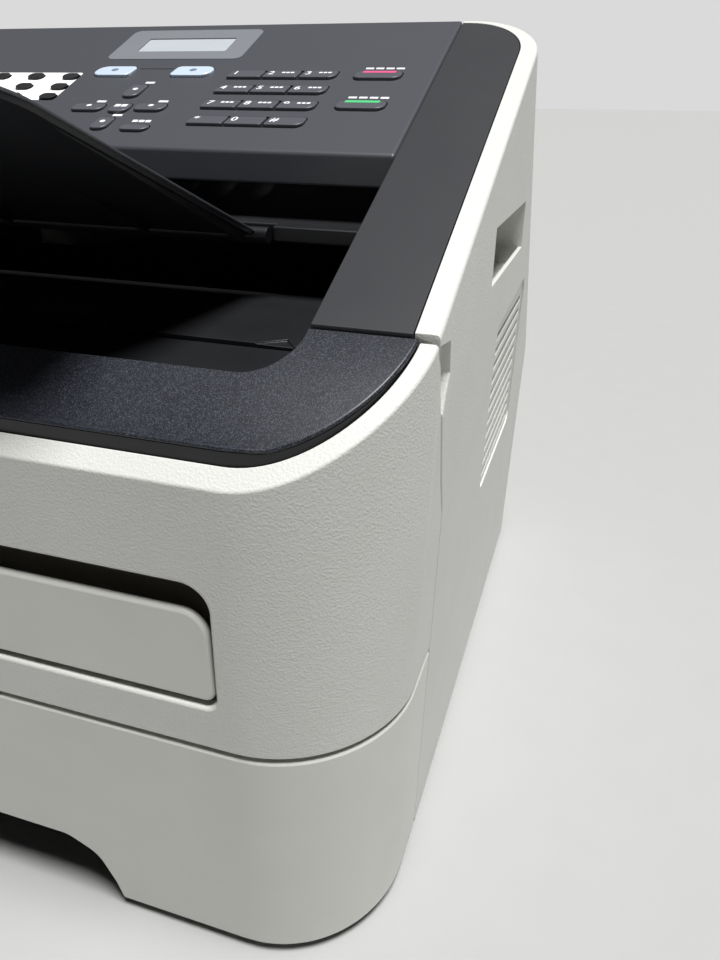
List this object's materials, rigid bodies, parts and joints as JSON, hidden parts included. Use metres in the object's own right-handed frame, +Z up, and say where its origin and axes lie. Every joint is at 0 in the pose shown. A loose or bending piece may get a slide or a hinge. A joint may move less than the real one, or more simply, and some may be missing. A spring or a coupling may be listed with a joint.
{
  "type": "fax machine",
  "caption": "Compact laser fax machine with a sloping control panel, raised document flap, output recess, front slot and paper tray.",
  "frame": {"origin": "centre of the footprint, on the surface it stands on", "axes": "+Z up, +X to the operator's right, -Y towards the operator"},
  "size_m": [0.368, 0.369, 0.306],
  "materials": {
    "white_plastic": "fine grained warm white ABS",
    "grey_plastic": "satin dark grey ABS",
    "black_plastic": "near-black textured ABS with a faint sparkle",
    "inner_plastic": "plain black engineering plastic",
    "steel": "zinc-plated sheet steel",
    "rubber": "matt roller rubber",
    "drum_coating": "glossy blue-green photoconductor",
    "board": "green solder mask",
    "lcd": "pale grey display window",
    "blue_key": "translucent pale blue",
    "red_key": "black key with a rose-red bar",
    "green_key": "black key with a green bar"
  },
  "bodies": {
    "chassis": {"main_frame": "steel", "side_cover_left": "white_plastic", "side_cover_right": "white_plastic", "arm_cover_left": "grey_plastic", "arm_cover_right": "grey_plastic", "output_tray_panel": "black_plastic", "document_chute": "black_plastic", "rear_housing": "white_plastic", "image_sensor": "inner_plastic", "laser_unit": "inner_plastic", "toner_cartridge": "inner_plastic", "main_board": "board", "power_supply": "steel", "power_inlet": "inner_plastic", "main_motor": "steel"},
    "front_cover": {"front_cover": "white_plastic", "front_top_insert": "black_plastic"},
    "manual_feed_cover": {"manual_feed_cover": "white_plastic"},
    "paper_tray": {"paper_tray": "inner_plastic", "tray_front": "white_plastic"},
    "control_panel": {"control_panel": "grey_plastic", "lcd_window": "lcd"},
    "lift_plate": {"lift_plate": "steel"},
    "paper_guide_left": {"paper_guide_left": "inner_plastic"},
    "paper_guide_right": {"paper_guide_right": "inner_plastic"},
    "output_flap": {"output_flap": "black_plastic"},
    "rear_cover": {"rear_cover": "white_plastic"},
    "document_support": {"document_support": "black_plastic"},
    "document_guide_left": {"document_guide_left": "black_plastic"},
    "document_guide_right": {"document_guide_right": "black_plastic"},
    "document_feed_roller": {"document_feed_roller": "rubber"},
    "pickup_roller": {"pickup_roller": "rubber"},
    "exit_roller": {"exit_roller": "rubber"},
    "drum": {"drum": "drum_coating"},
    "fuser_heat_roller": {"fuser_heat_roller": "steel"},
    "fuser_pressure_roller": {"fuser_pressure_roller": "rubber"},
    "drive_gear": {"drive_gear": "inner_plastic"},
    "number_key_1": {"number_key_1": "black_plastic"},
    "number_key_2": {"number_key_2": "black_plastic"},
    "number_key_3": {"number_key_3": "black_plastic"},
    "number_key_4": {"number_key_4": "black_plastic"},
    "number_key_5": {"number_key_5": "black_plastic"},
    "number_key_6": {"number_key_6": "black_plastic"},
    "number_key_7": {"number_key_7": "black_plastic"},
    "number_key_8": {"number_key_8": "black_plastic"},
    "number_key_9": {"number_key_9": "black_plastic"},
    "number_key_star": {"number_key_star": "black_plastic"},
    "number_key_0": {"number_key_0": "black_plastic"},
    "number_key_hash": {"number_key_hash": "black_plastic"},
    "stop_key": {"stop_key": "red_key"},
    "start_key": {"start_key": "green_key"},
    "mode_key_left": {"mode_key_left": "blue_key"},
    "mode_key_right": {"mode_key_right": "blue_key"},
    "up_key": {"up_key": "black_plastic"},
    "down_key": {"down_key": "black_plastic"},
    "left_key": {"left_key": "black_plastic"},
    "right_key": {"right_key": "black_plastic"},
    "ok_key": {"ok_key": "black_plastic"},
    "menu_key": {"menu_key": "black_plastic"},
    "one_touch_keys": {"one_touch_keys": "black_plastic"}
  },
  "joints": [
    {"name": "front_cover_hinge", "type": "hinge", "parent": "chassis", "child": "front_cover", "pos_m": [0, -0.1739, 0.0982], "axis": [1, 0, 0], "range_deg": [0, 90]},
    {"name": "manual_feed_hinge", "type": "hinge", "parent": "front_cover", "child": "manual_feed_cover", "pos_m": [0, -0.1734, 0.114], "axis": [1, 0, 0], "range_deg": [0, 88]},
    {"name": "paper_tray_slide", "type": "slide", "parent": "chassis", "child": "paper_tray", "axis": [0, -1, 0], "range_m": [0, 0.22]},
    {"name": "lift_plate_hinge", "type": "hinge", "parent": "paper_tray", "child": "lift_plate", "pos_m": [0, 0.0725, 0.013], "axis": [-1, 0, 0], "range_deg": [0, 6]},
    {"name": "paper_guide_left_slide", "type": "slide", "parent": "paper_tray", "child": "paper_guide_left", "axis": [1, 0, 0], "range_m": [0, 0.031]},
    {"name": "paper_guide_right_slide", "type": "slide", "parent": "paper_tray", "child": "paper_guide_right", "axis": [-1, 0, 0], "range_m": [0, 0.031]},
    {"name": "control_panel_hinge", "type": "hinge", "parent": "chassis", "child": "control_panel", "pos_m": [0, 0.0585, 0.297], "axis": [-1, 0, 0], "range_deg": [0, 50]},
    {"name": "output_flap_hinge", "type": "hinge", "parent": "chassis", "child": "output_flap", "pos_m": [0, -0.0575, 0.2285], "axis": [1, 0, 0], "range_deg": [-50, 28]},
    {"name": "rear_cover_hinge", "type": "hinge", "parent": "chassis", "child": "rear_cover", "pos_m": [0, 0.1829, 0.0506], "axis": [-1, 0, 0], "range_deg": [0, 80]},
    {"name": "document_support_hinge", "type": "hinge", "parent": "chassis", "child": "document_support", "pos_m": [0, 0.0885, 0.277], "axis": [1, 0, 0], "range_deg": [0, 108]},
    {"name": "document_guide_left_slide", "type": "slide", "parent": "chassis", "child": "document_guide_left", "axis": [1, 0, 0], "range_m": [0, 0.031]},
    {"name": "document_guide_right_slide", "type": "slide", "parent": "chassis", "child": "document_guide_right", "axis": [-1, 0, 0], "range_m": [0, 0.031]},
    {"name": "drive_gear_spin", "type": "hinge", "parent": "chassis", "child": "drive_gear", "pos_m": [0, 0.0611, 0.15], "axis": [1, 0, 0], "continuous": true},
    {"name": "heat_roller_spin", "type": "hinge", "parent": "chassis", "child": "fuser_heat_roller", "pos_m": [0, 0.1165, 0.148], "axis": [1, 0, 0], "continuous": true},
    {"name": "pressure_roller_spin", "type": "hinge", "parent": "chassis", "child": "fuser_pressure_roller", "pos_m": [0, 0.1165, 0.1234], "axis": [1, 0, 0], "continuous": true},
    {"name": "drum_spin", "type": "hinge", "parent": "chassis", "child": "drum", "pos_m": [0, 0.0265, 0.118], "axis": [1, 0, 0], "continuous": true},
    {"name": "exit_roller_spin", "type": "hinge", "parent": "chassis", "child": "exit_roller", "pos_m": [0, 0.0665, 0.212], "axis": [1, 0, 0], "continuous": true},
    {"name": "pickup_roller_spin", "type": "hinge", "parent": "chassis", "child": "pickup_roller", "pos_m": [0, -0.0835, 0.08], "axis": [1, 0, 0], "continuous": true},
    {"name": "document_feed_spin", "type": "hinge", "parent": "chassis", "child": "document_feed_roller", "pos_m": [0, 0.0325, 0.277], "axis": [1, 0, 0], "continuous": true},
    {"name": "number_key_1_press", "type": "slide", "parent": "control_panel", "child": "number_key_1", "axis": [0, 0.4115, -0.9114], "range_m": [0, 0.001], "stiffness_N_per_m": 300, "springref_m": -0.001},
    {"name": "number_key_2_press", "type": "slide", "parent": "control_panel", "child": "number_key_2", "axis": [0, 0.4115, -0.9114], "range_m": [0, 0.001], "stiffness_N_per_m": 300, "springref_m": -0.001},
    {"name": "number_key_3_press", "type": "slide", "parent": "control_panel", "child": "number_key_3", "axis": [0, 0.4115, -0.9114], "range_m": [0, 0.001], "stiffness_N_per_m": 300, "springref_m": -0.001},
    {"name": "number_key_4_press", "type": "slide", "parent": "control_panel", "child": "number_key_4", "axis": [0, 0.4115, -0.9114], "range_m": [0, 0.001], "stiffness_N_per_m": 300, "springref_m": -0.001},
    {"name": "number_key_5_press", "type": "slide", "parent": "control_panel", "child": "number_key_5", "axis": [0, 0.4115, -0.9114], "range_m": [0, 0.001], "stiffness_N_per_m": 300, "springref_m": -0.001},
    {"name": "number_key_6_press", "type": "slide", "parent": "control_panel", "child": "number_key_6", "axis": [0, 0.4115, -0.9114], "range_m": [0, 0.001], "stiffness_N_per_m": 300, "springref_m": -0.001},
    {"name": "number_key_7_press", "type": "slide", "parent": "control_panel", "child": "number_key_7", "axis": [0, 0.4115, -0.9114], "range_m": [0, 0.001], "stiffness_N_per_m": 300, "springref_m": -0.001},
    {"name": "number_key_8_press", "type": "slide", "parent": "control_panel", "child": "number_key_8", "axis": [0, 0.4115, -0.9114], "range_m": [0, 0.001], "stiffness_N_per_m": 300, "springref_m": -0.001},
    {"name": "number_key_9_press", "type": "slide", "parent": "control_panel", "child": "number_key_9", "axis": [0, 0.4115, -0.9114], "range_m": [0, 0.001], "stiffness_N_per_m": 300, "springref_m": -0.001},
    {"name": "number_key_star_press", "type": "slide", "parent": "control_panel", "child": "number_key_star", "axis": [0, 0.4115, -0.9114], "range_m": [0, 0.001], "stiffness_N_per_m": 300, "springref_m": -0.001},
    {"name": "number_key_0_press", "type": "slide", "parent": "control_panel", "child": "number_key_0", "axis": [0, 0.4115, -0.9114], "range_m": [0, 0.001], "stiffness_N_per_m": 300, "springref_m": -0.001},
    {"name": "number_key_hash_press", "type": "slide", "parent": "control_panel", "child": "number_key_hash", "axis": [0, 0.4115, -0.9114], "range_m": [0, 0.001], "stiffness_N_per_m": 300, "springref_m": -0.001},
    {"name": "stop_key_press", "type": "slide", "parent": "control_panel", "child": "stop_key", "axis": [0, 0.4115, -0.9114], "range_m": [0, 0.001], "stiffness_N_per_m": 300, "springref_m": -0.001},
    {"name": "start_key_press", "type": "slide", "parent": "control_panel", "child": "start_key", "axis": [0, 0.4115, -0.9114], "range_m": [0, 0.001], "stiffness_N_per_m": 300, "springref_m": -0.001},
    {"name": "mode_key_left_press", "type": "slide", "parent": "control_panel", "child": "mode_key_left", "axis": [0, 0.4115, -0.9114], "range_m": [0, 0.001], "stiffness_N_per_m": 300, "springref_m": -0.001},
    {"name": "mode_key_right_press", "type": "slide", "parent": "control_panel", "child": "mode_key_right", "axis": [0, 0.4115, -0.9114], "range_m": [0, 0.001], "stiffness_N_per_m": 300, "springref_m": -0.001},
    {"name": "up_key_press", "type": "slide", "parent": "control_panel", "child": "up_key", "axis": [0, 0.4115, -0.9114], "range_m": [0, 0.001], "stiffness_N_per_m": 300, "springref_m": -0.001},
    {"name": "down_key_press", "type": "slide", "parent": "control_panel", "child": "down_key", "axis": [0, 0.4115, -0.9114], "range_m": [0, 0.001], "stiffness_N_per_m": 300, "springref_m": -0.001},
    {"name": "left_key_press", "type": "slide", "parent": "control_panel", "child": "left_key", "axis": [0, 0.4115, -0.9114], "range_m": [0, 0.001], "stiffness_N_per_m": 300, "springref_m": -0.001},
    {"name": "right_key_press", "type": "slide", "parent": "control_panel", "child": "right_key", "axis": [0, 0.4115, -0.9114], "range_m": [0, 0.001], "stiffness_N_per_m": 300, "springref_m": -0.001},
    {"name": "ok_key_press", "type": "slide", "parent": "control_panel", "child": "ok_key", "axis": [0, 0.4115, -0.9114], "range_m": [0, 0.001], "stiffness_N_per_m": 300, "springref_m": -0.001},
    {"name": "menu_key_press", "type": "slide", "parent": "control_panel", "child": "menu_key", "axis": [0, 0.4115, -0.9114], "range_m": [0, 0.001], "stiffness_N_per_m": 300, "springref_m": -0.001},
    {"name": "one_touch_keys_press", "type": "slide", "parent": "control_panel", "child": "one_touch_keys", "axis": [0, 0.4115, -0.9114], "range_m": [0, 0.001], "stiffness_N_per_m": 600, "springref_m": -0.001}
  ],
  "couplings": [
    {"joint": "paper_guide_right_slide", "follows": "paper_guide_left_slide", "ratio": 1},
    {"joint": "document_guide_right_slide", "follows": "document_guide_left_slide", "ratio": 1},
    {"joint": "pressure_roller_spin", "follows": "heat_roller_spin", "ratio": -1},
    {"joint": "drive_gear_spin", "follows": "heat_roller_spin", "ratio": -0.8},
    {"joint": "drum_spin", "follows": "heat_roller_spin", "ratio": 1},
    {"joint": "exit_roller_spin", "follows": "heat_roller_spin", "ratio": 2}
  ]
}
